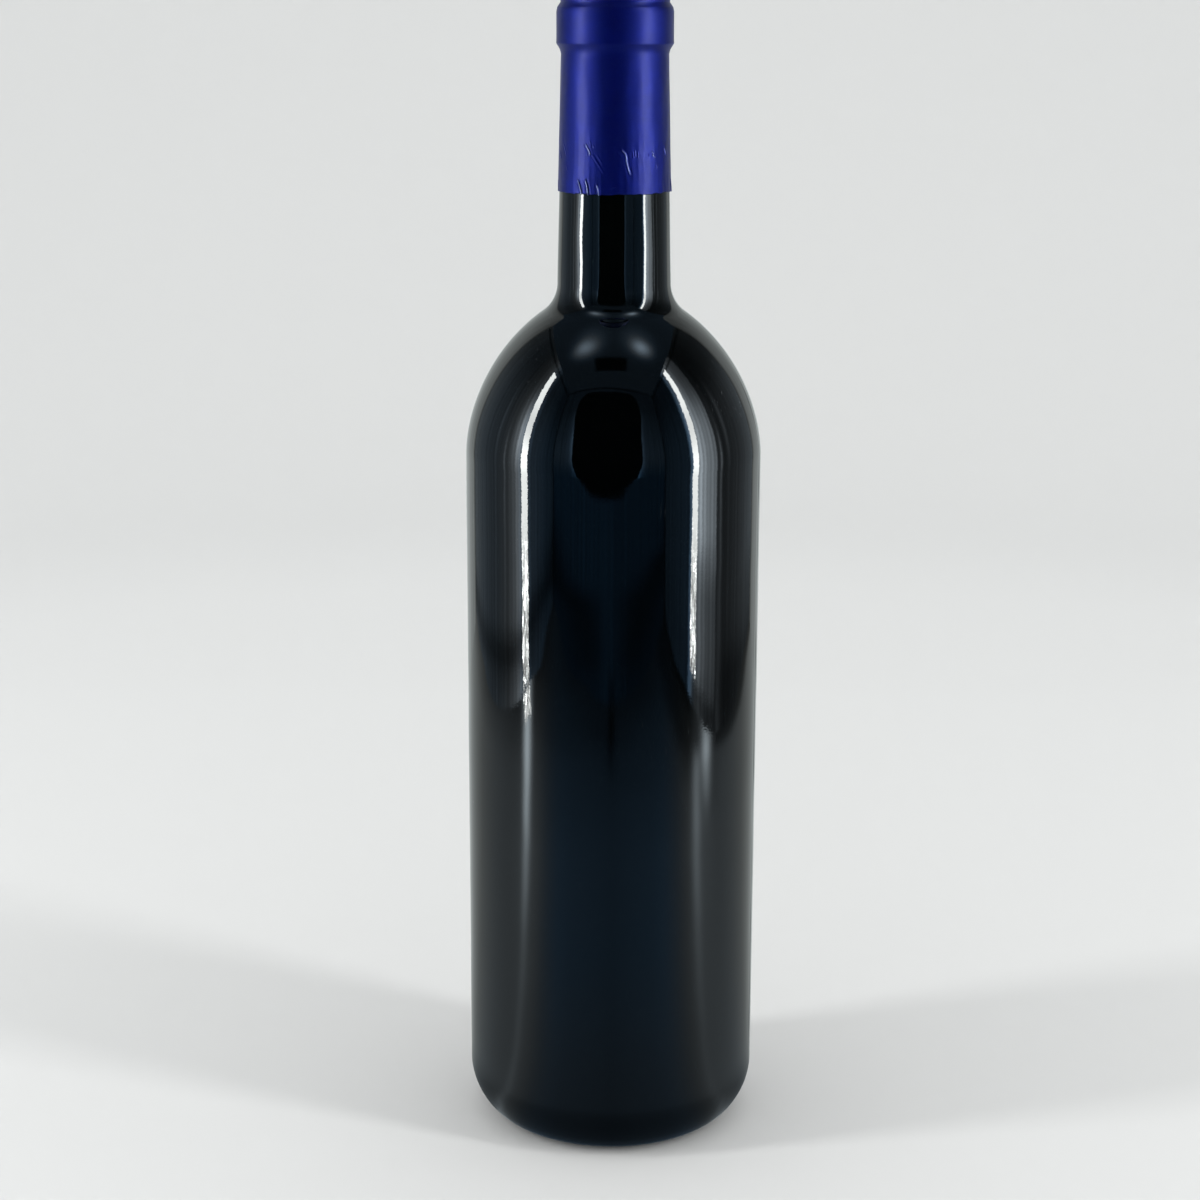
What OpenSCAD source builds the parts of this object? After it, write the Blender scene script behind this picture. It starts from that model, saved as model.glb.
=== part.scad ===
// Claret-style wine bottle, closed and full, with a foil capsule over its mouth.
// It stands on its bearing ring: Z is the bottle's axis, z = 0 is the floor.
// Lengths are in millimetres.

/* [Overall] */
// Height of the closed bottle, with its capsule on
total_h = 300.3; // [285:0.1:340]
// Diameter of the straight body
body_d = 76.4; // [68:0.2:88]
// Height of the shoulder and neck together, above the straight body
upper_h = 118.5; // [112:0.2:135]

/* [Foot] */
// Width of the heel's curve, inwards from the body's wall
heel_w = 10.6; // [6:0.1:14]
// Height of the heel's curve
heel_h = 14.3; // [8:0.1:20]
// Squareness of the heel's curve, where 2 is an ellipse
heel_power = 1.8; // [1.5:0.05:2.5]
// Width of the flat bearing ring that the bottle stands on
bearing_w = 2.8; // [1.5:0.1:4]
// Depth of the punt, the dome pushed up into the base
punt_h = 18; // [6:0.5:30]

/* [Shoulder] */
// Height of the full curve that the shoulder follows
shoulder_h = 42.6; // [36:0.1:50]
// How far that curve would run on inside the neck's wall
shoulder_in = 12.5; // [8:0.1:14]
// Squareness of the shoulder's curve, where 2 is an ellipse
shoulder_power = 1.8; // [1.5:0.05:2.2]
// Radius of the hollow curve between the shoulder and the neck
neck_fillet = 9; // [5:0.5:14]

/* [Neck and mouth] */
// Neck diameter where it leaves the shoulder
neck_d = 29; // [27:0.1:31]
// Neck diameter under the finish ring
neck_top_d = 26.4; // [24:0.1:27]
// Finish ring diameter, in glass
ring_d = 28.7; // [27.6:0.1:32]
// Height of the finish ring, between its two bevels
ring_h = 8.2; // [4:0.1:12]
// Height of the bevel under the ring
ring_low_bevel = 2.1; // [1:0.1:4]
// Height of the bevel over the ring
ring_high_bevel = 1.6; // [0.8:0.1:4]
// Diameter of the lip above the ring, in glass
lip_d = 26.7; // [24:0.1:27.4]
// Height of the lip, from the ring's upper bevel to the mouth
lip_h = 4.8; // [2:0.1:8]
// Radius of the lip's rounded outer edge
lip_round = 1; // [0.4:0.1:1.6]

/* [Capsule] */
// Length of the foil capsule, down from the top
capsule_l = 51.4; // [35:0.2:60]
// Thickness of the foil
foil_t = 0.2; // [0.1:0.05:0.4]
// Clearance between the foil's sleeve and the glass
foil_clearance = 0.15; // [0.05:0.05:0.3]

/* [Hidden] */

// Steps along each curve of the outline
shoulder_steps = 30;
heel_steps = 16;
punt_steps = 24;
fillet_steps = 10;
lip_steps = 6;
// Preview smoothness around the axis
around_fn = 180;
// Halvings used to find where the shoulder meets its fillet
search_steps = 40;

body_r = body_d / 2;
neck_r = neck_d / 2;
body_top_z = total_h - upper_h;
bearing_out_r = body_r - heel_w;
bearing_in_r = bearing_out_r - bearing_w;

// The shoulder's curve is a quarter superellipse about this centre
shoulder_a = body_r - neck_r + shoulder_in;
shoulder_centre = [body_r - shoulder_a, body_top_z];

// Heights of the finish, counted down from the mouth
mouth_z = total_h - foil_t;
ring_bevel_top_z = mouth_z - lip_h;
ring_top_z = ring_bevel_top_z - ring_high_bevel;
ring_bottom_z = ring_top_z - ring_h;
neck_top_z = ring_bottom_z - ring_low_bevel;
capsule_z = total_h - capsule_l;

// Point of a quarter superellipse a wide and b high: t = 0 is its side, t = 90 its crown
function super_point(a, b, power, t) =
    [a * pow(cos(t), 2 / power), b * pow(sin(t), 2 / power)];

// Outward unit normal of the same curve
function super_normal(a, b, power, t) =
    unit([pow(cos(t), 2 - 2 / power) / a, pow(sin(t), 2 - 2 / power) / b]);

function unit(v) = v / norm(v);

// Points of a circular arc, with both ends
function arc(centre, r, from, to, steps) =
    [for (i = [0:steps]) let (t = from + (to - from) * i / steps) centre + r * [cos(t), sin(t)]];

// Outward unit normal of the step from p to q, on an outline that runs upwards
function step_normal(p, q) = unit([q[1] - p[1], p[0] - q[0]]);

// The outline moved outwards by d, with mitred corners
function moved_out(line, d) = [
    for (i = [0:len(line) - 1])
        let (
            before = step_normal(line[max(i - 1, 0)], line[max(i, 1)]),
            after = step_normal(line[min(i, len(line) - 2)], line[min(i + 1, len(line) - 1)])
        )
        line[i] + d * (before + after) / (1 + before * after)
];

// The outline with nothing higher than z
function capped(line, z) = [for (p = line) [p[0], min(p[1], z)]];

// The stretch of a rising outline from height z upwards
function above(line, z) =
    let (
        last = max([for (i = [0:len(line) - 1]) if (line[i][1] <= z) i]),
        step = line[last + 1] - line[last]
    )
    concat(
        [line[last] + step * (z - line[last][1]) / step[1]],
        [for (i = [last + 1:len(line) - 1]) line[i]]
    );

function reversed(line) = [for (i = [len(line) - 1:-1:0]) line[i]];

// Shoulder point and normal at t
function shoulder_point(t) =
    shoulder_centre + super_point(shoulder_a, shoulder_h, shoulder_power, t);
function shoulder_normal(t) = super_normal(shoulder_a, shoulder_h, shoulder_power, t);

// Centre of a circle of the fillet's radius that touches the shoulder at t
function fillet_centre(t) = shoulder_point(t) + neck_fillet * shoulder_normal(t);

// The t at which that circle also touches the neck's wall
function fillet_meeting(low, high, left) =
    let (middle = (low + high) / 2)
    left == 0 ? middle
    : fillet_centre(middle)[0] > neck_r + neck_fillet ? fillet_meeting(middle, high, left - 1)
    : fillet_meeting(low, middle, left - 1);

shoulder_end = fillet_meeting(0, 90, search_steps);
shoulder_end_normal = shoulder_normal(shoulder_end);
fillet_start = 180 + atan2(shoulder_end_normal[1], shoulder_end_normal[0]);

// The punt is a cosine dome that runs down into the bearing ring
punt_outline = [
    for (i = [0:punt_steps])
        let (share = i / punt_steps)
        [bearing_in_r * share, punt_h * (1 + cos(180 * share)) / 2]
];

heel_outline = [
    for (i = [0:heel_steps])
        let (p = super_point(heel_w, heel_h, heel_power, 90 - 90 * i / heel_steps))
        [bearing_out_r + p[0], heel_h - p[1]]
];

shoulder_outline = [
    for (i = [0:shoulder_steps])
        shoulder_point(shoulder_end * i / shoulder_steps)
];

fillet_outline = arc(fillet_centre(shoulder_end), neck_fillet, fillet_start, 180, fillet_steps);

// From the top of the neck over the ring and the lip to the axis
finish_outline = concat(
    [
        [neck_top_d / 2, neck_top_z],
        [ring_d / 2, ring_bottom_z],
        [ring_d / 2, ring_top_z],
        [lip_d / 2, ring_bevel_top_z]
    ],
    arc([lip_d / 2 - lip_round, mouth_z - lip_round], lip_round, 0, 90, lip_steps),
    [[0, mouth_z]]
);

upper_outline = concat(shoulder_outline, fillet_outline, finish_outline);

// The glass that the capsule covers
covered_outline = above(upper_outline, capsule_z);

// Closed and opaque, so it is solid glass and wine right through
module bottle() {
    color([0.06, 0.08, 0.09])
        rotate_extrude($fn = around_fn)
            polygon(concat(punt_outline, heel_outline, upper_outline));
}

// A foil sleeve that follows the covered glass, with its flat disc lying on the mouth
module capsule() {
    inside = capped(moved_out(covered_outline, foil_clearance), mouth_z);
    outside = capped(moved_out(covered_outline, foil_clearance + foil_t), total_h);
    color([0.20, 0.27, 0.60])
        rotate_extrude($fn = around_fn)
            polygon(concat(outside, reversed(inside)));
}

bottle();
capsule();
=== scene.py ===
import functools
import math

import bpy
import numpy as np
from mathutils import Matrix, Vector


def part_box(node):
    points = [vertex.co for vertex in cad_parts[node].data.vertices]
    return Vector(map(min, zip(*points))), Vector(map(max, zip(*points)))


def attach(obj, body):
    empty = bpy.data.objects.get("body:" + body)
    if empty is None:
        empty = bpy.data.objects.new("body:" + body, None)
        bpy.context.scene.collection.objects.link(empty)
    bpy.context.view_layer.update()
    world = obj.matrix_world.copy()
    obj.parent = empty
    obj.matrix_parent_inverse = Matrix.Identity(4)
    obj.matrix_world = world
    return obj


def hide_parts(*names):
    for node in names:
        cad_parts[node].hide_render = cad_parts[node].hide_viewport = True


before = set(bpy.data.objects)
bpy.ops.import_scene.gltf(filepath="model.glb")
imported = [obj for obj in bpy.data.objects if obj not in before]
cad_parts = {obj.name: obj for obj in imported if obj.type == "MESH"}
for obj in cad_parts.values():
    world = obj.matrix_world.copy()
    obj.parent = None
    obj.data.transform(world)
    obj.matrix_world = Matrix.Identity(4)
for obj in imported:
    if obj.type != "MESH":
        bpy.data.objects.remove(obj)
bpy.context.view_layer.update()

# A claret-style wine bottle of near-black glass under a blue foil capsule, on a pale floor.
# Lengths are in metres. Angles round the bottle are in degrees from its front, which faces
# -Y, and grow towards +X.

MM = 0.001
SEED = 7

# ---- Sizes: the overall ones come from the frame, the rest are the construction's own ----

bottle_low, bottle_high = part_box("bottle")
capsule_low, capsule_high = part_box("capsule")

BODY_R = bottle_high.x
MOUTH_Z = bottle_high.z
TOP_Z = capsule_high.z
CAPSULE_Z = capsule_low.z

UPPER_H = 118.5 * MM
HEEL_W = 10.6 * MM
HEEL_H = 14.3 * MM
HEEL_POWER = 1.8
BEARING_W = 2.8 * MM
PUNT_H = 18 * MM
SHOULDER_H = 42.6 * MM
SHOULDER_IN = 12.5 * MM
SHOULDER_POWER = 1.8
NECK_FILLET = 9 * MM
NECK_R = 29 / 2 * MM
NECK_TOP_R = 26.4 / 2 * MM
RING_R = 28.7 / 2 * MM
RING_H = 8.2 * MM
RING_LOW_BEVEL = 2.1 * MM
RING_HIGH_BEVEL = 1.6 * MM
LIP_R = 26.7 / 2 * MM
LIP_H = 4.8 * MM
LIP_ROUND = 1 * MM
FOIL_T = 0.2 * MM
FOIL_CLEARANCE = 0.15 * MM

SHOULDER_Z = TOP_Z - UPPER_H
BEARING_OUT_R = BODY_R - HEEL_W
BEARING_IN_R = BEARING_OUT_R - BEARING_W
SHOULDER_A = BODY_R - NECK_R + SHOULDER_IN
SHOULDER_CENTRE = np.array([BODY_R - SHOULDER_A, SHOULDER_Z])
RING_BEVEL_TOP_Z = MOUTH_Z - LIP_H
RING_TOP_Z = RING_BEVEL_TOP_Z - RING_HIGH_BEVEL
RING_BOTTOM_Z = RING_TOP_Z - RING_H
NECK_TOP_Z = RING_BOTTOM_Z - RING_LOW_BEVEL


# ---- Outline curves, as arrays of (radius, height) ----

def super_curve(a, b, power, t):
    """Quarter superellipse, a wide and b high: t = 0 is its side, t = pi / 2 its crown."""
    return np.stack([a * np.cos(t) ** (2 / power), b * np.sin(t) ** (2 / power)], 1)


def super_normal(a, b, power, t):
    """Outward unit normal of the same curve."""
    n = np.stack([np.cos(t) ** (2 - 2 / power) / a, np.sin(t) ** (2 - 2 / power) / b], 1)
    return n / np.linalg.norm(n, axis=1, keepdims=True)


def arc(centre, r, start, end, steps):
    """Points of a circular arc, angles in degrees, with both ends."""
    t = np.radians(np.linspace(start, end, steps + 1))
    return np.stack([centre[0] + r * np.cos(t), centre[1] + r * np.sin(t)], 1)


def straight(start, end, steps):
    """Points from start towards end, without the end."""
    share = np.linspace(0, 1, steps, endpoint=False)[:, None]
    return np.array(start) * (1 - share) + np.array(end) * share


def rounded(corners, radii, steps=6):
    """The corners' outline with each inner corner turned into an arc of its radius."""
    corners = [np.array(c, float) for c in corners]
    out = [corners[0]]
    for before, corner, after, r in zip(corners, corners[1:], corners[2:], radii):
        u = (before - corner) / np.linalg.norm(before - corner)
        v = (after - corner) / np.linalg.norm(after - corner)
        half = math.acos(float(np.clip(u @ v, -1, 1))) / 2
        centre = corner + (u + v) / np.linalg.norm(u + v) * r / math.sin(half)
        first = corner + u * r / math.tan(half) - centre
        turn = math.pi - 2 * half
        side = np.sign(first[0] * (-u)[1] - first[1] * (-u)[0])
        for i in range(steps + 1):
            a = side * turn * i / steps
            out.append(centre + np.array([
                first[0] * math.cos(a) - first[1] * math.sin(a),
                first[0] * math.sin(a) + first[1] * math.cos(a),
            ]))
    out.append(corners[-1])
    return np.array(out)


def resampled(line, spacing):
    """The outline cut into steps of about the spacing that a function of height gives."""
    lengths = np.concatenate([[0], np.cumsum(np.linalg.norm(np.diff(line, axis=0), axis=1))])
    at, places = 0.0, [0.0]
    while at < lengths[-1]:
        at += spacing(np.interp(at, lengths, line[:, 1]))
        places.append(min(at, lengths[-1]))
    return np.stack([np.interp(places, lengths, line[:, i]) for i in (0, 1)], 1)


def shoulder_meeting():
    """Where the shoulder's curve meets the fillet into the neck: t, and the fillet's centre."""
    t = np.linspace(0, math.pi / 2, 20001)[1:-1]
    points = super_curve(SHOULDER_A, SHOULDER_H, SHOULDER_POWER, t) + SHOULDER_CENTRE
    centres = points + NECK_FILLET * super_normal(SHOULDER_A, SHOULDER_H, SHOULDER_POWER, t)
    i = int(np.argmin(np.abs(centres[:, 0] - (NECK_R + NECK_FILLET))))
    return t[i], centres[i]


def bottle_outline():
    """The whole glass outline, from the middle of the punt to the middle of the mouth."""
    share = np.linspace(0, 1, 34)
    punt = np.stack([BEARING_IN_R * share, PUNT_H * (1 + np.cos(math.pi * share)) / 2], 1)
    ring = straight((BEARING_IN_R, 0), (BEARING_OUT_R, 0), 8)[1:]
    t = np.linspace(math.pi / 2, 0, 40)
    heel = super_curve(HEEL_W, HEEL_H, HEEL_POWER, t) * [1, -1] + [BEARING_OUT_R, HEEL_H]
    wall = straight((BODY_R, HEEL_H), (BODY_R, SHOULDER_Z), 76)[1:]
    end, centre = shoulder_meeting()
    t = np.linspace(0, end, 64)
    shoulder = super_curve(SHOULDER_A, SHOULDER_H, SHOULDER_POWER, t) + SHOULDER_CENTRE
    n = super_normal(SHOULDER_A, SHOULDER_H, SHOULDER_POWER, np.array([end]))[0]
    fillet = arc(centre, NECK_FILLET, 180 + math.degrees(math.atan2(n[1], n[0])), 180, 18)[1:]
    neck = straight(fillet[-1], (NECK_TOP_R, NECK_TOP_Z), 42)[1:]
    finish = rounded(
        [
            neck[-1],
            (NECK_TOP_R, NECK_TOP_Z),
            (RING_R, RING_BOTTOM_Z),
            (RING_R, RING_TOP_Z),
            (LIP_R, RING_BEVEL_TOP_Z),
            (LIP_R, MOUTH_Z),
            (0, MOUTH_Z),
        ],
        [0.4 * MM, 0.5 * MM, 0.5 * MM, 0.4 * MM, LIP_ROUND],
    )[1:]
    return np.concatenate([punt, ring, heel, wall, shoulder, fillet, neck, finish])


def neck_radius(z):
    """Glass radius on the tapered neck at height z."""
    neck_z = shoulder_meeting()[1][1]
    return NECK_R + (NECK_TOP_R - NECK_R) * (z - neck_z) / (NECK_TOP_Z - neck_z)


# ---- Meshes of revolution ----

def normals_of(line):
    """Outward unit normals of an outline that runs upwards on its outer side."""
    d = np.gradient(line, axis=0)
    n = np.stack([d[:, 1], -d[:, 0]], 1)
    return n / np.maximum(np.linalg.norm(n, axis=1, keepdims=True), 1e-12)


def turned(name, line, angles, offset, attributes=None):
    """A closed mesh: the outline, which starts and ends on the Z axis, turned about it through the
    angles and moved out by offset(angle, r, z). Attributes are functions of the same three."""
    angles = np.sort(angles)
    columns = len(angles)
    rows = line[1:-1]
    n = normals_of(line)[1:-1]
    a, r = np.meshgrid(angles, rows[:, 0])
    z = np.repeat(rows[:, 1:], columns, 1)
    move = offset(a, r, z)
    r2 = r + move * n[:, :1]
    z2 = z + move * n[:, 1:]
    rad = np.radians(a)
    grid = np.stack([r2 * np.sin(rad), -r2 * np.cos(rad), z2], -1)
    points = [tuple(p) for p in grid.reshape(-1, 3)]
    points += [(0, 0, line[0, 1]), (0, 0, line[-1, 1])]
    first, last = len(points) - 2, len(points) - 1
    beside = [(j, (j + 1) % columns) for j in range(columns)]
    faces = []
    for i in range(len(rows) - 1):
        low, high = i * columns, (i + 1) * columns
        faces += [(low + j, low + k, high + k, high + j) for j, k in beside]
    top = (len(rows) - 1) * columns
    faces += [(first, k, j) for j, k in beside]
    faces += [(top + j, top + k, last) for j, k in beside]
    mesh = bpy.data.meshes.new(name)
    mesh.from_pydata(points, [], faces)
    mesh.shade_smooth()
    for key, function in (attributes or {}).items():
        layer = mesh.attributes.new(key, "FLOAT", "POINT")
        values = np.zeros(len(points), np.float32)
        values[: a.size] = function(a, r, z).ravel()
        layer.data.foreach_set("value", values)
    mesh.validate()
    mesh.update()
    made = bpy.data.objects.new(name, mesh)
    bpy.context.scene.collection.objects.link(made)
    return made


def smooth_step(x, start, end):
    t = np.clip((x - start) / (end - start), 0, 1)
    return t * t * (3 - 2 * t)


def bell(x, centre, width):
    return np.exp(-(((x - centre) / width) ** 2))


def turn_between(a, b):
    """The angle from b to a, the short way round, in degrees."""
    return (a - b + 180) % 360 - 180


# ---- The glass ----

SEAM_ANGLES = (78.5, 258.5)
SEAM_H = 0.07 * MM
SEAM_W = 0.28 * MM
HEEL_LINE_Z = 4.5 * MM
HEEL_LINE_H = 0.04 * MM
HEEL_LINE_W = 0.35 * MM
LONG_RIPPLE_H = 0.014 * MM
SHORT_RIPPLE_H = 0.0022 * MM
KNURLS = 72
KNURL_DEPTH = 0.22 * MM
GLASS_COLUMNS = 384


def waves(count, longest, shortest, seed):
    """A soft random ripple of unit size over (angle, height): whole waves round the bottle."""
    rng = np.random.default_rng(seed)
    terms = []
    for _ in range(count):
        length = math.exp(rng.uniform(math.log(shortest), math.log(longest)))
        lean = rng.uniform(0, 2 * math.pi)
        around = round(2 * math.pi * BODY_R / length * math.cos(lean))
        terms.append((around, 2 * math.pi / length * math.sin(lean), rng.uniform(0, 2 * math.pi)))
    scale = math.sqrt(2 / count)

    def ripple(a, z):
        total = 0
        for around, up, phase in terms:
            total = total + np.cos(around * np.radians(a) + up * z + phase)
        return total * scale

    return ripple


long_ripple = waves(14, 60 * MM, 18 * MM, SEED)
short_ripple = waves(16, 16 * MM, 7 * MM, SEED + 1)


def glass_offset(a, r, z):
    """Mould seams, the heel's parting line, the knurled bearing ring and the glass's own ripple."""
    outside = (r > BEARING_OUT_R) | (z > HEEL_H)
    ripple = LONG_RIPPLE_H * long_ripple(a, z) + SHORT_RIPPLE_H * short_ripple(a, z)
    move = np.where(outside, ripple, 0)
    seam_end = smooth_step(z, 1.5 * MM, HEEL_LINE_Z)
    seam_end = seam_end * (1 - smooth_step(z, NECK_TOP_Z - 2 * MM, NECK_TOP_Z))
    for seam in SEAM_ANGLES:
        across = np.radians(turn_between(a, seam)) * r
        height = 0.75 + 0.25 * long_ripple(a * 0, z)
        move = move + np.where(outside, SEAM_H * height * bell(across, 0, SEAM_W) * seam_end, 0)
    parting = HEEL_LINE_H * bell(z, HEEL_LINE_Z, HEEL_LINE_W)
    move = move + np.where(r > BEARING_OUT_R, parting, 0)
    middle = (BEARING_IN_R + BEARING_OUT_R) / 2
    on_ring = bell(r, middle, BEARING_W * 0.42) * (z < 0.3 * MM)
    groove = (0.5 - 0.5 * np.cos(np.radians(a) * KNURLS)) ** 2
    return move - KNURL_DEPTH * on_ring * groove


def glass_angles():
    """Even steps round the bottle, with finer ones across each mould seam."""
    keep = np.linspace(0, 360, GLASS_COLUMNS, endpoint=False)
    fine = np.linspace(-1.2, 1.2, 17)
    for seam in SEAM_ANGLES:
        keep = keep[np.abs(turn_between(keep, seam)) > 1.5]
    return np.concatenate([keep] + [(seam + fine) % 360 for seam in SEAM_ANGLES])


glass = turned("glass_bottle", bottle_outline(), glass_angles(), glass_offset)


# ---- The capsule ----

CREASE_TOP = 13.5 * MM
CREASE_STEP = 0.2 * MM
CORNER_STEP = 0.13 * MM
PLAIN_STEP = 1.2 * MM
EDGE_WANDER = 0.09 * MM
FOIL_WANDER = 0.020 * MM
FOIL_DENT = 0.010 * MM
foil_out = FOIL_CLEARANCE + FOIL_T

# Each crease is a line of (angle, height above the foil's edge in mm), then about how far it
# stands up and how wide its gentler slope is, in mm.
FRONT_CREASES = [
    ([(-40, 3.9), (-38.5, 2.9), (-37, 1.8), (-35.3, 0.5), (-34.8, -0.2)], 0.20, 0.42),
    ([(-31, 3.9), (-29.2, 2.7), (-28, 1.6), (-26.9, -0.2)], 0.22, 0.44),
    ([(-18, 2.6), (-16.4, 1.1), (-15.8, -0.2)], 0.20, 0.42),
    ([(-42, 2.6), (-40.4, 1.6)], 0.06, 0.30),
    ([(6, 11.5), (7.8, 10.8), (10.4, 10.2), (11.8, 9.2), (11.8, 8.3), (13, 7.1), (14.4, 5.9),
      (16.4, 4.6)], 0.15, 0.46),
    ([(2.4, 10.6), (4.6, 9.8)], 0.06, 0.30),
    ([(4.8, 10.1), (7, 9.2)], 0.05, 0.30),
    ([(-31.5, 12.6), (-29.5, 11.7), (-27, 10.8), (-24.8, 9.6)], 0.14, 0.36),
    ([(-26.5, 13.2), (-24.4, 12.4)], 0.06, 0.30),
    ([(-22.5, 12.2), (-21.3, 11.5)], 0.06, 0.30),
    ([(-24.3, 10.2), (-17.3, 7.7), (-10.5, 5.2)], 0.05, 0.40),
    ([(-19, 10.2), (-15.5, 8.8), (-12.5, 7.7)], 0.04, 0.40),
    ([(18.6, 10.6), (19.2, 9.0)], 0.06, 0.30),
    ([(20.8, 11.0), (21.4, 9.4)], 0.07, 0.30),
    ([(23.9, 10.6), (24.2, 9.0)], 0.06, 0.30),
    ([(39.9, 10.7), (42.6, 10.0), (42.4, 9.4), (46.1, 8.9)], 0.10, 0.34),
    ([(36.4, 10.2), (37.6, 9.4)], 0.05, 0.30),
    ([(47.9, 7.2), (48.3, 6.3)], 0.07, 0.30),
    ([(60.6, 11.3), (62.3, 10.4), (64.1, 9.5)], 0.13, 0.34),
    ([(-66, 12.2), (-61.4, 10.6), (-58.2, 9.1)], 0.10, 0.38),
    ([(-58.2, 6.9), (-55.2, 5.4)], 0.06, 0.36),
    ([(-5, 1.5), (-0.6, 1.9), (3, 1.6)], 0.07, 0.36),
    ([(-3, 0.9), (1, 1.2), (4, 0.9)], 0.04, 0.36),
]


def other_creases():
    """Creases of the same kind round the sides and back, leaning the same way."""
    rng = np.random.default_rng(SEED + 2)
    made = []
    for angle in np.arange(76, 290, 11):
        start = angle + rng.uniform(-4, 4)
        low = rng.random() < 0.45
        top = rng.uniform(2.6, 4.4) if low else rng.uniform(8.5, 13)
        fall = top + 0.2 if low else rng.uniform(1.6, 5)
        turn = rng.uniform(3, 9) * min(1, fall / 3)
        bend = rng.uniform(-0.25, 0.25)
        line = [(start + turn * (s + bend * s * (1 - s)), top - fall * s) for s in (0, 0.33, 0.66, 1)]
        made.append((line, rng.uniform(0.06, 0.17), rng.uniform(0.75, 0.95)))
    return made


creases = FRONT_CREASES + other_creases()


def nearest_on(line, middle, px, py, scale):
    """For each point, how far the line is, with a sign for its side, and how far along it, 0 to 1."""
    best = np.full(px.shape, 1e9)
    signed = np.zeros(px.shape)
    along = np.zeros(px.shape)
    for i in range(len(line) - 1):
        ax = turn_between(line[i][0], middle) * scale
        bx = turn_between(line[i + 1][0], middle) * scale
        ay, by = line[i][1], line[i + 1][1]
        dx, dy = bx - ax, by - ay
        s = np.clip(((px - ax) * dx + (py - ay) * dy) / (dx * dx + dy * dy), 0, 1)
        ex, ey = px - ax - s * dx, py - ay - s * dy
        d = np.hypot(ex, ey)
        closer = d < best
        best = np.where(closer, d, best)
        signed = np.where(closer, d * np.sign(ex * -dy + ey * dx), signed)
        along = np.where(closer, (i + s) / (len(line) - 1), along)
    return signed, along


def crease_field(a, r, z):
    """How far the foil's folds stand out, in metres, and how worn each place on them is, 0 to 1.
    A fold is a narrow ridge, with a gentler slope on one side and a shallow valley on both."""
    up = (z - CAPSULE_Z) / MM
    height = np.zeros_like(r)
    wear = np.zeros_like(r)
    for line, tall, wide in creases:
        middle = np.mean([p[0] for p in line])
        x = np.radians(turn_between(a, middle)) * r / MM
        near = (np.abs(x) < 6) & (up > line[-1][1] - 2.5) & (up < line[0][1] + 2.5)
        if not near.any():
            continue
        scale = np.radians(1) * r[near] / MM
        signed, along = nearest_on(line, middle, x[near], up[near], scale)
        ends = smooth_step(along, 0, 0.2) * (1 - smooth_step(along, 0.9, 1.0) * (line[-1][1] > 0))
        width = 0.11 + 0.21 * wide
        ridge = np.exp(-((signed / width) ** 2))
        gentle = np.where(signed > 0, np.exp(-np.abs(signed) / (1.3 * wide)), ridge)
        valley = -0.30 * np.exp(-(((np.abs(signed) - 2.1 * width) / width) ** 2))
        height[near] += 1.25 * tall * MM * ends * (0.75 * ridge + 0.25 * gentle + valley)
        rubbed = ends * min(1, tall / 0.14) * np.exp(-((signed / (0.8 * width)) ** 2))
        wear[near] = np.maximum(wear[near], rubbed)
    return height, wear


foil_wander = waves(10, 30 * MM, 8 * MM, SEED + 3)
foil_dents = waves(18, 14 * MM, 3.5 * MM, SEED + 4)
edge_wander = waves(12, 40 * MM, 6 * MM, SEED + 5)


def foil_offset(a, r, z):
    """The outer foil's folds, soft dents near its edge, slight overall unevenness, and the
    sharper edges where it is rolled over the ring and pressed in beside it."""
    up = z - CAPSULE_Z
    outer = r > neck_radius(z) + FOIL_CLEARANCE + 0.5 * FOIL_T
    skirt = 1 - smooth_step(z, NECK_TOP_Z - 3 * MM, NECK_TOP_Z)
    folds = crease_field(a, r, z)[0]
    soft = FOIL_WANDER * foil_wander(a, z) * skirt
    dents = FOIL_DENT * foil_dents(a, z) * (1 - smooth_step(up, 10 * MM, 20 * MM)) * skirt
    rolled = 0.06 * bell(z, RING_BOTTOM_Z + 0.2 * MM, 0.22 * MM)
    rolled = rolled + 0.05 * bell(z, RING_TOP_Z, 0.25 * MM)
    pressed = 0.07 * bell(z, RING_BEVEL_TOP_Z + 0.2 * MM, 0.25 * MM)
    pressed = pressed + 0.05 * bell(z, NECK_TOP_Z, 0.5 * MM)
    shaped = (rolled - pressed) * MM
    return np.where(outer & (z < RING_BEVEL_TOP_Z + 1 * MM), folds + soft + dents + shaped, 0)


def foil_wear(a, r, z):
    return crease_field(a, r, z)[1]


def capsule_outline():
    """The foil's outer face, from its lower edge up to the middle of its disc."""
    out = rounded(
        [
            (neck_radius(CAPSULE_Z) + foil_out, CAPSULE_Z),
            (NECK_TOP_R + foil_out, NECK_TOP_Z + 0.1 * MM),
            (RING_R + foil_out, RING_BOTTOM_Z - 0.1 * MM),
            (RING_R + foil_out, RING_TOP_Z + 0.2 * MM),
            (LIP_R + foil_out, RING_BEVEL_TOP_Z + 0.2 * MM),
            (LIP_R + foil_out, TOP_Z),
            (0, TOP_Z),
        ],
        [1.2 * MM, 0.32 * MM, 0.32 * MM, 0.35 * MM, 1.0 * MM],
        steps=8,
    )
    corners = (
        NECK_TOP_Z + 0.1 * MM,
        RING_BOTTOM_Z - 0.1 * MM,
        RING_TOP_Z + 0.2 * MM,
        RING_BEVEL_TOP_Z + 0.2 * MM,
        TOP_Z - 0.5 * MM,
    )

    def spacing(z):
        if z < CAPSULE_Z + CREASE_TOP:
            return CREASE_STEP
        if min(abs(z - corner) for corner in corners) < 0.5 * MM - 1e-7:
            return CORNER_STEP
        return PLAIN_STEP

    return resampled(out, spacing)


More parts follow.
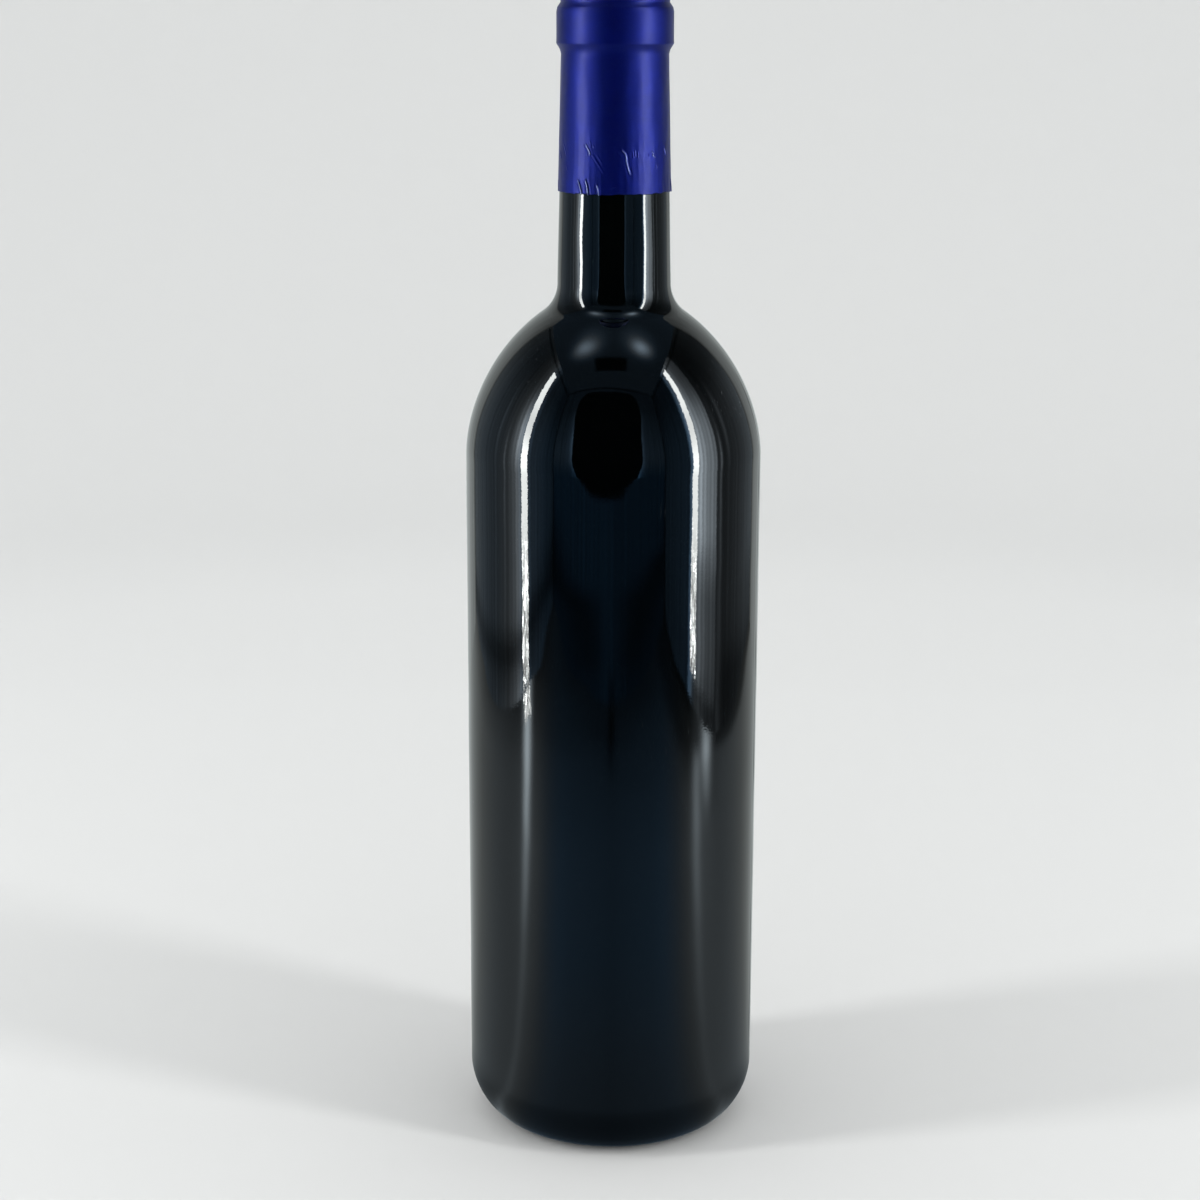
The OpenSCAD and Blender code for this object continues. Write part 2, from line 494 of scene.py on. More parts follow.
def capsule_piece():
    """The foil as a closed shell: a plain sleeve inside, its turned lower edge and its outer face."""
    outer = capsule_outline()
    lip = neck_radius(CAPSULE_Z) + FOIL_CLEARANCE
    edge = [
        (lip + 0.02 * MM, CAPSULE_Z + 0.02 * MM),
        (lip + 0.10 * MM, CAPSULE_Z),
        (lip + 0.18 * MM, CAPSULE_Z + 0.01 * MM),
    ]
    inner = [
        (0, MOUTH_Z + 0.02 * MM),
        (LIP_R - LIP_ROUND, MOUTH_Z + 0.02 * MM),
        (LIP_R + FOIL_CLEARANCE, MOUTH_Z - LIP_ROUND),
        (LIP_R + FOIL_CLEARANCE, RING_BEVEL_TOP_Z),
        (RING_R + FOIL_CLEARANCE, RING_TOP_Z),
        (RING_R + FOIL_CLEARANCE, RING_BOTTOM_Z),
        (NECK_TOP_R + FOIL_CLEARANCE, NECK_TOP_Z),
        (lip, CAPSULE_Z + 1.2 * MM),
    ]
    line = np.concatenate([np.array(inner), np.array(edge), outer])
    seen, unseen = np.arange(-70, 70, 0.36), np.arange(70, 290, 0.9)
    angles = np.concatenate([seen, unseen]) % 360
    made = turned("foil_capsule", line, angles, foil_offset, {"wear": foil_wear})
    wander_edge(made)
    return made


def wander_edge(made):
    """Lets the foil's cut edge run slightly uneven, fading out a few millimetres up."""
    co = np.zeros(len(made.data.vertices) * 3, np.float32)
    made.data.vertices.foreach_get("co", co)
    co = co.reshape(-1, 3)
    angle = np.degrees(np.arctan2(co[:, 0], -co[:, 1]))
    fade = 1 - smooth_step(co[:, 2], CAPSULE_Z + 0.5 * MM, CAPSULE_Z + 4 * MM)
    lift = EDGE_WANDER * (0.9 + edge_wander(angle, angle * 0)) * fade
    co[:, 2] += np.maximum(lift, 0)
    made.data.vertices.foreach_set("co", co.ravel())
    made.data.update()


foil = capsule_piece()


# ---- Materials ----

BODY_GLASS = (0.0003, 0.0005, 0.0006)
NECK_GLASS = (0.0004, 0.0007, 0.0007)
DUST = (0.10, 0.11, 0.12)
DARK_FOIL = (0.0009, 0.0060, 0.145)
LIGHT_FOIL = (0.0011, 0.0078, 0.180)
FOIL_FLECK = (0.008, 0.020, 0.19)
BARE_FOIL = (0.45, 0.50, 0.72)


def new_material(name):
    material = bpy.data.materials.new(name)
    material.use_nodes = True
    nodes = material.node_tree.nodes
    nodes.clear()
    shader = nodes.new("ShaderNodeBsdfPrincipled")
    out = nodes.new("ShaderNodeOutputMaterial")
    material.node_tree.links.new(shader.outputs["BSDF"], out.inputs["Surface"])
    return material, nodes, material.node_tree.links, shader


def noise(nodes, links, vector, scale, detail=2.0, roughness=0.5):
    node = nodes.new("ShaderNodeTexNoise")
    node.inputs["Scale"].default_value = scale
    node.inputs["Detail"].default_value = detail
    node.inputs["Roughness"].default_value = roughness
    links.new(vector, node.inputs["Vector"])
    return node.outputs["Fac"]


def mapped(nodes, links, value, low, high, out_low, out_high):
    """value from low..high turned into out_low..out_high, held at both ends."""
    node = nodes.new("ShaderNodeMapRange")
    node.inputs["From Min"].default_value = low
    node.inputs["From Max"].default_value = high
    node.inputs["To Min"].default_value = out_low
    node.inputs["To Max"].default_value = out_high
    links.new(value, node.inputs["Value"])
    return node.outputs["Result"]


def combined(nodes, links, operation, first, second):
    node = nodes.new("ShaderNodeMath")
    node.operation = operation
    for socket, value in zip(node.inputs, (first, second)):
        if isinstance(value, (int, float)):
            socket.default_value = value
        else:
            links.new(value, socket)
    return node.outputs["Value"]


def mixed(nodes, links, factor, first, second):
    """Colour between first and second, each a colour or a socket."""
    node = nodes.new("ShaderNodeMix")
    node.data_type = "RGBA"
    links.new(factor, node.inputs["Factor"])
    colours = [s for s in node.inputs if s.type == "RGBA"]
    for socket, value in zip(colours, (first, second)):
        if isinstance(value, tuple):
            socket.default_value = (*value, 1)
        else:
            links.new(value, socket)
    return [s for s in node.outputs if s.type == "RGBA"][0]


def stretched(nodes, links, vector, scale):
    node = nodes.new("ShaderNodeMapping")
    node.inputs["Scale"].default_value = scale
    links.new(vector, node.inputs["Vector"])
    return node.outputs["Vector"]


def bumped(nodes, links, shader, layers):
    """Chains bump layers of (height, distance in metres) into the shader's normal."""
    normal = None
    for height, distance in layers:
        node = nodes.new("ShaderNodeBump")
        node.inputs["Strength"].default_value = 1
        node.inputs["Distance"].default_value = distance
        links.new(height, node.inputs["Height"])
        if normal is not None:
            links.new(normal, node.inputs["Normal"])
        normal = node.outputs["Normal"]
    links.new(normal, shader.inputs["Normal"])


def glass_material():
    """Near-black glossy glass: a faint orange peel, specks of dust, light scuffs, a greener neck."""
    material, nodes, links, shader = new_material("dark_glass")
    place = nodes.new("ShaderNodeTexCoord").outputs["Object"]
    split = nodes.new("ShaderNodeSeparateXYZ")
    links.new(place, split.inputs["Vector"])
    neck_start, neck_end = SHOULDER_Z + 25 * MM, SHOULDER_Z + 55 * MM
    neck = mapped(nodes, links, split.outputs["Z"], neck_start, neck_end, 0, 1)
    tone = mixed(nodes, links, neck, BODY_GLASS, NECK_GLASS)

    dust = nodes.new("ShaderNodeTexVoronoi")
    dust.inputs["Scale"].default_value = 90
    links.new(place, dust.inputs["Vector"])
    speck = mapped(nodes, links, dust.outputs["Distance"], 0.012, 0.026, 1, 0)
    scarce = mapped(nodes, links, noise(nodes, links, place, 40, 1), 0.60, 0.66, 0, 1)
    specks = combined(nodes, links, "MULTIPLY", speck, scarce)

    streaks = noise(nodes, links, stretched(nodes, links, place, (900, 900, 120)), 1, 3, 0.6)
    scratch = mapped(nodes, links, streaks, 0.66, 0.74, 0, 1)
    rubbed = mapped(nodes, links, noise(nodes, links, place, 28, 2), 0.62, 0.72, 0, 1)
    scuffs = combined(nodes, links, "MULTIPLY", scratch, rubbed)

    faint = combined(nodes, links, "MULTIPLY", scuffs, 0.35)
    marks = combined(nodes, links, "MAXIMUM", specks, faint)
    links.new(mixed(nodes, links, marks, tone, DUST), shader.inputs["Base Color"])
    haze = mapped(nodes, links, noise(nodes, links, place, 60, 3), 0.35, 0.75, 0.012, 0.035)
    duller = combined(nodes, links, "MULTIPLY", marks, 0.3)
    links.new(combined(nodes, links, "ADD", haze, duller), shader.inputs["Roughness"])
    shader.inputs["IOR"].default_value = 1.52
    peel = noise(nodes, links, place, 1900, 1)
    ripple = noise(nodes, links, stretched(nodes, links, place, (260, 260, 130)), 1, 1)
    bumped(nodes, links, shader, [(ripple, 4e-6), (peel, 2.8e-6)])
    return material


def foil_material():
    """Satin metallic blue lacquer on foil: mottled, rolled fine lines under its ring, and worn
    on its folds."""
    material, nodes, links, shader = new_material("blue_foil")
    place = nodes.new("ShaderNodeTexCoord").outputs["Object"]
    worn = nodes.new("ShaderNodeAttribute")
    worn.attribute_name = "wear"

    mottle = mapped(nodes, links, noise(nodes, links, place, 260, 3, 0.6), 0.3, 0.7, 0, 1)
    blue = mixed(nodes, links, mottle, DARK_FOIL, LIGHT_FOIL)
    fine = mapped(nodes, links, noise(nodes, links, place, 2400, 1), 0.62, 0.75, 0, 0.5)
    flecked = mixed(nodes, links, fine, blue, FOIL_FLECK)
    bare = mapped(nodes, links, worn.outputs["Fac"], 0.35, 1.0, 0, 0.7)
    links.new(mixed(nodes, links, bare, flecked, BARE_FOIL), shader.inputs["Base Color"])

    shader.inputs["Metallic"].default_value = 1
    uneven = mapped(nodes, links, noise(nodes, links, place, 420, 2), 0.3, 0.7, 0.51, 0.58)
    rub = mapped(nodes, links, worn.outputs["Fac"], 0.2, 1.0, 0, 0.28)
    links.new(combined(nodes, links, "SUBTRACT", uneven, rub), shader.inputs["Roughness"])
    shader.inputs["Coat Weight"].default_value = 0.40
    shader.inputs["Coat Roughness"].default_value = 0.36
    shader.inputs["Coat IOR"].default_value = 1.5
    grain = noise(nodes, links, place, 3000, 2)
    dents = noise(nodes, links, place, 500, 2)
    split = nodes.new("ShaderNodeSeparateXYZ")
    links.new(place, split.inputs["Vector"])
    rolled = noise(nodes, links, stretched(nodes, links, place, (120, 120, 4200)), 1, 2)
    lines_start, lines_end = NECK_TOP_Z - 15 * MM, NECK_TOP_Z - 2 * MM
    under_ring = mapped(nodes, links, split.outputs["Z"], lines_start, lines_end, 0, 1)
    rolled = combined(nodes, links, "MULTIPLY", rolled, under_ring)
    bumped(nodes, links, shader, [(dents, 16e-6), (grain, 6e-6), (rolled, 13e-6)])
    return material


glass.data.materials.append(glass_material())
foil.data.materials.append(foil_material())
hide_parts("bottle")
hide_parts("capsule")
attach(glass, "root")
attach(foil, "root")


# ---- Stage: a round seamless floor and wall ----

FLOOR_R = 0.80
SWEEP_R = 0.90
WALL_TOP = 1.9
# The floor's tone near the bottle is painted shade round its foot.
NEAR_SHADE_TONE = (0.575, 0.58, 0.58)
FAR_TONE = (0.645, 0.65, 0.65)
WALL_TONE = (0.885, 0.89, 0.885)


def stage_material():
    """Matt off-white, a little darker round the bottle with painted shade, and paler up the wall. Its
    underside is clear, so that a camera below sees the base."""
    material, nodes, links, shader = new_material("pale_floor")
    place = nodes.new("ShaderNodeTexCoord").outputs["Object"]
    split = nodes.new("ShaderNodeSeparateXYZ")
    links.new(place, split.inputs["Vector"])
    away = nodes.new("ShaderNodeVectorMath")
    away.operation = "LENGTH"
    links.new(place, away.inputs[0])
    # Painted shade: darker near the bottle, paler further out.
    far = mapped(nodes, links, away.outputs["Value"], 0.15, 0.62, 0, 1)
    high = mapped(nodes, links, split.outputs["Z"], 0.3, 0.8, 0, 1)
    tone = mixed(nodes, links, far, NEAR_SHADE_TONE, FAR_TONE)
    links.new(mixed(nodes, links, high, tone, WALL_TONE), shader.inputs["Base Color"])
    shader.inputs["Roughness"].default_value = 0.9
    shader.inputs["Specular IOR Level"].default_value = 0.1
    clear = nodes.new("ShaderNodeBsdfTransparent")
    side = nodes.new("ShaderNodeNewGeometry")
    mix = nodes.new("ShaderNodeMixShader")
    out = next(n for n in nodes if n.type == "OUTPUT_MATERIAL")
    links.new(side.outputs["Backfacing"], mix.inputs["Fac"])
    links.new(shader.outputs["BSDF"], mix.inputs[1])
    links.new(clear.outputs["BSDF"], mix.inputs[2])
    links.new(mix.outputs["Shader"], out.inputs["Surface"])
    return material


def stage_piece():
    sweep = arc((FLOOR_R, SWEEP_R), SWEEP_R, -90, 0, 32)
    floor = straight((0.02, 0), (FLOOR_R, 0), 24)
    line = np.concatenate([[(0, 0)], floor, sweep, [(FLOOR_R + SWEEP_R, WALL_TOP)]])
    columns = 128
    angles = np.radians(np.linspace(0, 360, columns, endpoint=False))
    points = [(0, 0, 0)]
    for r, z in line[1:]:
        points += [(r * math.sin(t), -r * math.cos(t), z) for t in angles]
    faces = [(0, 1 + j, 1 + (j + 1) % columns) for j in range(columns)]
    for i in range(len(line) - 2):
        for j in range(columns):
            k = (j + 1) % columns
            low, high = 1 + i * columns, 1 + (i + 1) * columns
            faces.append((low + j, high + j, high + k, low + k))
    mesh = bpy.data.meshes.new("stage")
    mesh.from_pydata(points, [], faces)
    mesh.shade_smooth()
    made = bpy.data.objects.new("stage", mesh)
    bpy.context.scene.collection.objects.link(made)
    made.data.materials.append(stage_material())
    made.visible_glossy = False


stage_piece()


# ---- Light tent: sheets glowing with the painted light and shade of a lit cloth tent, what the glass and foil reflect. Only glossy rays see it ----

# The tent's corners on the floor, and its heights
FRONT_LEFT = (-0.454, -0.447)
FRONT_RIGHT = (0.405, -0.492)
BACK_LEFT = (-0.430, 0.408)
BACK_RIGHT = (0.430, 0.408)
TENT_TOP = 0.775
PLAN_CORNER = (-0.46, -0.50)
PLAN_SIDE = 0.92

# Tints of its cloth, from the shaded front round to the lit back, and of its lamps. Each is
# about as bright as white.
DEEP_BLUE = np.array([0.36, 1.08, 2.10])
BLUE = np.array([0.55, 1.06, 1.70])
COOL = np.array([0.80, 1.03, 1.25])
NEUTRAL = np.array([0.94, 1.02, 1.01])
LAMP = np.array([0.97, 1.01, 1.00])
COOL_BLUE = (COOL + BLUE) / 2
COOL_LAMP = (LAMP + COOL) / 2
PALE = (NEUTRAL + COOL) / 2


def reflected_only(made):
    made.visible_camera = False
    made.visible_diffuse = False
    made.visible_transmission = False
    made.visible_volume_scatter = False
    made.visible_shadow = False
    made.visible_glossy = True


def glow_material():
    """Shines with the colour stored at each point."""
    material = bpy.data.materials.new("tent_glow")
    material.use_nodes = True
    nodes, links = material.node_tree.nodes, material.node_tree.links
    nodes.clear()
    colour = nodes.new("ShaderNodeAttribute")
    colour.attribute_name = "glow"
    shine = nodes.new("ShaderNodeEmission")
    out = nodes.new("ShaderNodeOutputMaterial")
    links.new(colour.outputs["Color"], shine.inputs["Color"])
    links.new(shine.outputs["Emission"], out.inputs["Surface"])
    material.cycles.emission_sampling = "NONE"
    return material


glow = glow_material()


def glowing_sheet(name, corner, across, up, cells, shine):
    """A flat sheet from corner along across and up, with shine(points) giving its colours."""
    columns, rows = cells
    u, v = np.meshgrid(np.linspace(0, 1, columns + 1), np.linspace(0, 1, rows + 1))
    points = np.array(corner) + u[..., None] * np.array(across) + v[..., None] * np.array(up)
    points = points.reshape(-1, 3)
    w = columns + 1
    faces = [(i * w + j, i * w + j + 1, (i + 1) * w + j + 1, (i + 1) * w + j)
             for i in range(rows) for j in range(columns)]
    mesh = bpy.data.meshes.new(name)
    mesh.from_pydata([tuple(p) for p in points], [], faces)
    layer = mesh.attributes.new("glow", "FLOAT_COLOR", "POINT")
    colours = np.concatenate([shine(points), np.ones((len(points), 1))], 1)
    layer.data.foreach_set("color", colours.astype(np.float32).ravel())
    mesh.materials.append(glow)
    made = bpy.data.objects.new(name, mesh)
    bpy.context.scene.collection.objects.link(made)
    reflected_only(made)


def wall(name, start, end, cells, shine):
    """An upright sheet between two of the tent's corners."""
    across = (end[0] - start[0], end[1] - start[1], 0)
    glowing_sheet(name, (*start, 0), across, (0, 0, TENT_TOP), cells, shine)


def tinted(level, stages):
    """level times a tint, which starts at the first stage's and moves by each next stage's share
    towards that stage's. The stages are (share, tint) pairs."""
    out = stages[0][1] + np.zeros((len(level), 3))
    for share, tint in stages[1:]:
        out = out * (1 - share[:, None]) + share[:, None] * tint
    return level[:, None] * out


cloth_waves = np.random.default_rng(SEED + 6)
FOLD_TERMS = [(cloth_waves.uniform(25, 260), cloth_waves.uniform(0, 6.28)) for _ in range(9)]
FOLD_DEPTH = 0.05
FOLD_LEAN = 0.03


def folds(along, z):
    """Painted light and shade of uneven cloth: soft upright waves, some of which lean a little."""
    total = 0
    for i, (k, p) in enumerate(FOLD_TERMS):
        total = total + np.cos(k * (along + FOLD_LEAN * z * (i % 3 - 1)) + p)
    return 1 + FOLD_DEPTH * total


def stepped(x, pairs):
    """Straight steps through the (place, value) pairs, held at both ends."""
    places, values = zip(*pairs)
    return np.interp(x, places, values)


def foot_shade(z, depth, centre=0.030):
    """A wall's foot is dark, most of all at the centre height."""
    low = 1 - smooth_step(z, 0.02, 0.06)
    return (1 - depth * bell(z, centre, 0.017)) * (1 - 0.73 * depth * low)


def left_foot(y, z):
    """The left wall's foot has a band of painted shade over the floor, lower and narrower towards the
    back.
    """
    depth = stepped(y, [(-0.27, 0.74), (-0.05, 0.78), (0.1, 0.66), (0.3, 0.50)])
    centre = stepped(y, [(-0.27, 0.027), (-0.05, 0.0235), (0.1, 0.021), (0.3, 0.013)])
    width = stepped(y, [(-0.27, 0.017), (-0.05, 0.0115)])
    return 1 - depth * bell(z, centre, width)


def top_shade(z):
    """The side walls fade upwards, to a dark seam just under the ceiling."""
    return (1 - 0.66 * smooth_step(z, 0.22, 0.62)) * (1 - 0.8 * bell(z, 0.735, 0.012))


# How bright the side walls are from front to back, as (y, level)
LEFT_LEVELS = [
    (-0.447, 0.02), (-0.436, 0.13), (-0.34, 0.21), (-0.22, 0.36), (-0.12, 1.9), (-0.09, 1.1),
    (-0.06, 0.65), (-0.03, 0.42), (0.01, 0.34), (0.05, 0.28), (0.13, 0.24), (0.22, 0.30),
    (0.39, 0.36), (0.408, 0.20),
]
RIGHT_LEVELS = [
    (-0.492, 0.015), (-0.478, 0.10), (-0.36, 0.13), (-0.25, 0.17), (-0.18, 6.2), (-0.14, 4.2),
    (-0.10, 2.6), (-0.053, 2.1), (-0.040, 0.32), (0.01, 0.15), (0.09, 0.18), (0.14, 0.20),
    (0.25, 0.28), (0.39, 0.36), (0.408, 0.20),
]


def left_wall(points):
    """Bright behind its lamp strip, with two thin lighter folds further back."""
    y, z = points[:, 1], points[:, 2]
    level = stepped(y, LEFT_LEVELS)
    lit = bell(z, 0.30, 0.13)
    level = level + lit * (3.6 * bell(y, -0.112, 0.020) + 0.7 * bell(y, -0.078, 0.03))
    level = level + 0.55 * bell(y, -0.004, 0.007) * bell(z, 0.17, 0.09)
    level = level + 0.16 * bell(y, 0.07, 0.012) * lit
    level = level * folds(y, z) * left_foot(y, z) * top_shade(z)
    return tinted(level, [
        (0, BLUE),
        (smooth_step(y, -0.40, -0.22), COOL_BLUE),
        (smooth_step(y, -0.2, -0.1), COOL_LAMP),
        (smooth_step(y, -0.05, 0.1), COOL),
        (smooth_step(y, 0.15, 0.40), PALE),
    ])


def right_wall(points):
    """A broad bright band behind its lamp strip, dimmer low down and darkest at its foot, with
    two thin lighter folds further back."""
    y, z = points[:, 1], points[:, 2]
    level = stepped(y, RIGHT_LEVELS)
    level = level + 0.9 * bell(y, -0.011, 0.008) * bell(z, 0.17, 0.09)
    level = level + 0.30 * bell(y, 0.052, 0.012) * bell(z, 0.3, 0.13)
    high = smooth_step(z, 0.33, 0.5) * smooth_step(y, -0.16, -0.10)
    band = smooth_step(y, -0.24, -0.20) * (1 - smooth_step(y, -0.05, -0.03))
    level = level * (1 - 0.68 * band * (1 - smooth_step(z, 0.050, 0.088)))
    level = level * (1 - 0.72 * band * (1 - smooth_step(z, 0.006, 0.016)))
    foot_z = stepped(y, [(0, 0.013), (0.1, 0.012), (0.29, 0.001)])
    foot = foot_shade(z, 0.10 + 0.36 * smooth_step(y, -0.03, 0.06), foot_z)
    level = level * (1 - 0.45 * high) * folds(y + 0.5, z) * foot * top_shade(z)
    return tinted(level, [
        (0, BLUE),
        (smooth_step(y, -0.25, -0.18), COOL_LAMP),
        (smooth_step(y, 0.15, 0.40), PALE),
    ])


OPENING_X = (-0.274, 0.189)
OPENING_Z = (0.094, 0.715)


def beyond_opening(x, z):
    """How far to the side of the opening a place is. The opening's corners are cut off, and it
    is a little wider in its upper half."""
    low = np.clip(z - OPENING_Z[0], 0, 1)
    cut = 0.085 * np.exp(-low / 0.0055) + 0.034 * (1 - smooth_step(low, 0.02, 0.14))
    cut = cut + 0.9 * np.clip(z - OPENING_Z[1] + 0.05, 0, 1) - 0.030 * bell(z, 0.55, 0.13)
    return np.maximum(OPENING_X[0] + cut - x, x - OPENING_X[1] + cut)


def hem_glow(x, z, beyond):
    """Painted light on the cloth's edge beside the opening."""
    hem = np.exp(-np.clip(beyond, 0, 1) / 0.014) * (1 - smooth_step(z, 0.45, 0.6))
    hem = hem * smooth_step(z, OPENING_Z[0], OPENING_Z[0] + 0.03)
    left = 0.35 + 0.75 * bell(z, 0.31, 0.09)
    right = 0.25 + 0.55 * bell(z, 0.13, 0.07) + 0.2 * bell(z, 0.3, 0.1)
    return hem * np.where(x < 0, left, right)


def front_wall(points):
    """The shaded front wall and the black opening that the camera looks in through."""
    x, z = points[:, 0], points[:, 2]
    beyond = beyond_opening(x, z)
    side = smooth_step(beyond, -0.002, 0.004)
    below = 1 - smooth_step(z, OPENING_Z[0] - 0.004, OPENING_Z[0] + 0.002)
    above = smooth_step(z, OPENING_Z[1] - 0.002, OPENING_Z[1] + 0.004)
    cloth = np.maximum(np.maximum(side, below), above)
    rise = 1 + 0.5 * bell(z, 0.28, 0.10) - 0.45 * smooth_step(z, 0.4, 0.62)
    base = np.where(x < 0, 0.125, 0.100) * rise
    lower = 1 - smooth_step(z, OPENING_Z[0] - 0.02, OPENING_Z[0] + 0.16)
    level = (base * (1 - 0.3 * lower) + hem_glow(x, z, beyond) * side) * folds(x, z)
    corner = smooth_step(x, FRONT_LEFT[0], FRONT_LEFT[0] + 0.014)
    corner = corner * (1 - smooth_step(x, FRONT_RIGHT[0] - 0.012, FRONT_RIGHT[0]))
    foot = foot_shade(z, 0.62 - 0.55 * bell(x, -0.01, 0.09))
    # A spot of painted shade at the foot below the opening.
    foot = foot * (1 - 0.7 * bell(x, -0.006, 0.022) * (1 - smooth_step(z, 0, 0.03)))
    level = level * cloth * (0.1 + 0.9 * corner) * foot * (1 - 0.8 * bell(z, 0.76, 0.01))
    return tinted(level, [(0, BLUE * 0.8 + COOL * 0.2), (lower, DEEP_BLUE)])


def back_wall(points):
    """Evenly lit, a little brighter low down and at the left, and fading upwards."""
    x, z = points[:, 0], points[:, 2]
    level = 0.63 - 0.08 * smooth_step(x, -0.3, 0.3)
    level = level * (1 + 0.18 * bell(z, 0.08, 0.09)) * (1 - 0.4 * smooth_step(z, 0.35, 0.7))
    edge = smooth_step(0.43 - np.abs(x), 0.0, 0.05)
    return tinted(level * (0.45 + 0.55 * edge) * folds(x + 1, z), [(0, NEUTRAL)])


def ceiling(points):
    """Soft bright patches left and right of the bottle, and a black slot further to the front."""
    x, y = points[:, 0], points[:, 1]
    left = 1.75 * bell(x, -0.205, 0.075) * bell(y, -0.105, 0.055)
    right = 2.5 * bell(x, 0.200, 0.062) * bell(y, -0.100, 0.050)
    around = 0.30 * bell(np.abs(x), 0.17, 0.11) * bell(y, -0.06, 0.10)
    slot = smooth_step(x, -0.165, -0.125) * (1 - smooth_step(x, 0.080, 0.120))
    slot = slot * smooth_step(y, -0.335, -0.305) * (1 - smooth_step(y, -0.230, -0.195))
    level = (0.085 + left + right + around) * (1 - slot)
    return tinted(level, [(0, BLUE * 0.6 + COOL * 0.4), (smooth_step(level, 0.1, 0.5), COOL)])


# How bright the tent's floor is from its front round to its back, as (degrees, level)
FLOOR_LEVELS = [
    (0, 0.165), (30, 0.22), (50, 0.31), (62, 0.40), (85, 0.45), (120, 0.44), (135, 0.54),
    (150, 0.66), (180, 0.68),
]


def tent_floor(points):
    """Brightest behind, darker towards the walls and round the bottle's foot, with a streak of
    glow from each lamp strip."""
    x, y = points[:, 0], points[:, 1]
    r = np.hypot(x, y)
    angle = np.degrees(np.arctan2(x, -y))
    aside = np.abs(angle)
    near = smooth_step(r, 0.05, 0.42)
    level = stepped(aside, FLOOR_LEVELS)
    # Painted shade round the bottle's foot.
    level = level * stepped(r, [(0.03, 0.45), (0.067, 0.82), (0.13, 0.95), (0.2, 1.0)])
    contact_shade = (0.32 + 0.30 * bell(aside, 85, 25)) * (1 - smooth_step(aside, 100, 130))
    level = level * (1 - contact_shade * (1 - smooth_step(r, 0.034, 0.074)))
    level = level + (0.10 + 0.35 * near) * bell(angle, -66, 12)
    level = level + (0.08 + 0.40 * near) * bell(angle, 70, 12)
    front = 1 - smooth_step(aside, 66, 96)
    fall = stepped(r, [(0.27, 1.0), (0.34, 0.82), (0.39, 0.66), (0.435, 0.46), (0.50, 0.34)])
    fall = fall * (1 - 0.60 * smooth_step(x, 0.28, 0.35))
    level = level * (1 - front * (1 - fall))
    to_wall = np.minimum(0.44 - np.abs(x), y + 0.47)
    level = level * (0.68 + 0.32 * smooth_step(to_wall, 0.0, 0.10))
    to_side = np.where(x > 0, 0.405 - x, 0.44 + x)
    level = level * (1 - np.where(x > 0, 0.65, 0.2) * (1 - smooth_step(to_side, -0.005, 0.03)))
    # A spot of painted shade on the floor by the front wall's foot, under the opening.
    level = level * (1 - 0.75 * bell(x, -0.006, 0.022) * bell(y, -0.435, 0.045))
    left = (0.16 + 5.2 * near ** 2.4) * bell(angle, -67.5, 3.4)
    right = (0.08 + 1.7 * near ** 1.5) * bell(angle, 67, 4) * (1 - 0.9 * smooth_step(r, 0.36, 0.42))
    right = right + 3.8 * bell(angle, 76, 4.5) * bell(r, 0.40, 0.055)
    return tinted(level + left + right, [
        (0, BLUE),
        (1 - smooth_step(r, 0.05, 0.2), COOL * 0.6 + BLUE * 0.4),
        (smooth_step(aside, 35, 60), COOL * 0.4 + NEUTRAL * 0.6),
        (smooth_step(aside, 90, 130), NEUTRAL),
    ])


def level_sheet(name, z, cells, shine):
    """A level sheet over the whole of the tent's plan."""
    glowing_sheet(name, (*PLAN_CORNER, z), (PLAN_SIDE, 0, 0), (0, PLAN_SIDE, 0), cells, shine)


wall("tent_left", FRONT_LEFT, BACK_LEFT, (430, 120), left_wall)
wall("tent_right", FRONT_RIGHT, BACK_RIGHT, (430, 120), right_wall)
wall("tent_front", FRONT_LEFT, FRONT_RIGHT, (330, 300), front_wall)
wall("tent_back", BACK_LEFT, BACK_RIGHT, (120, 100), back_wall)
level_sheet("tent_ceiling", TENT_TOP, (180, 180), ceiling)
level_sheet("tent_floor", 0, (230, 230), tent_floor)

# The lamp strips lean back a little. Below this height their lamps are bare, dimmer and glitter.
BARE_Z = 0.060


def strip_glow(points, level, boost, foot, glitter):
    """A strip's colours: brightest at about z = 0.19, and broken into dots where it is bare."""
    z = points[:, 2]
    shine = level * (1 + boost * bell(z, 0.19, 0.09) + 0.25 * smooth_step(z, 0.36, 0.48))
    bare = 1 - smooth_step(z, BARE_Z - 0.02, BARE_Z + 0.025)
    sparkle = np.exp(glitter.normal(-1.15, 1.6, len(z)))
    low = 0.6 + 0.4 * smooth_step(z, foot, foot + 0.02)
    return tinted(shine * ((1 - bare) + bare * sparkle * low), [(0, LAMP)])


def lamp_strip(name, seed, x, y, width, foot, top, lean, level, boost, pool):
    """A strip of lamps up the side wall, and a painted pool of its glittering light on the floor, if
    there is one.
    """
    glitter = np.random.default_rng(seed)
    shine = functools.partial(strip_glow, level=level, boost=boost, foot=foot, glitter=glitter)
    corner = (x, y - width / 2, foot)
    glowing_sheet(name, corner, (0, width, 0), (0, lean, top - foot), (10, 1300), shine)
    # The pool is painted light: a glowing sheet lying on the floor.
    if pool:
        inwards = (-math.copysign(pool, x), 0, 0)
        corner = (x, y - width / 2, 1 * MM)
        glowing_sheet(name + "_pool", corner, (0, width, 0), inwards, (8, 20), shine)


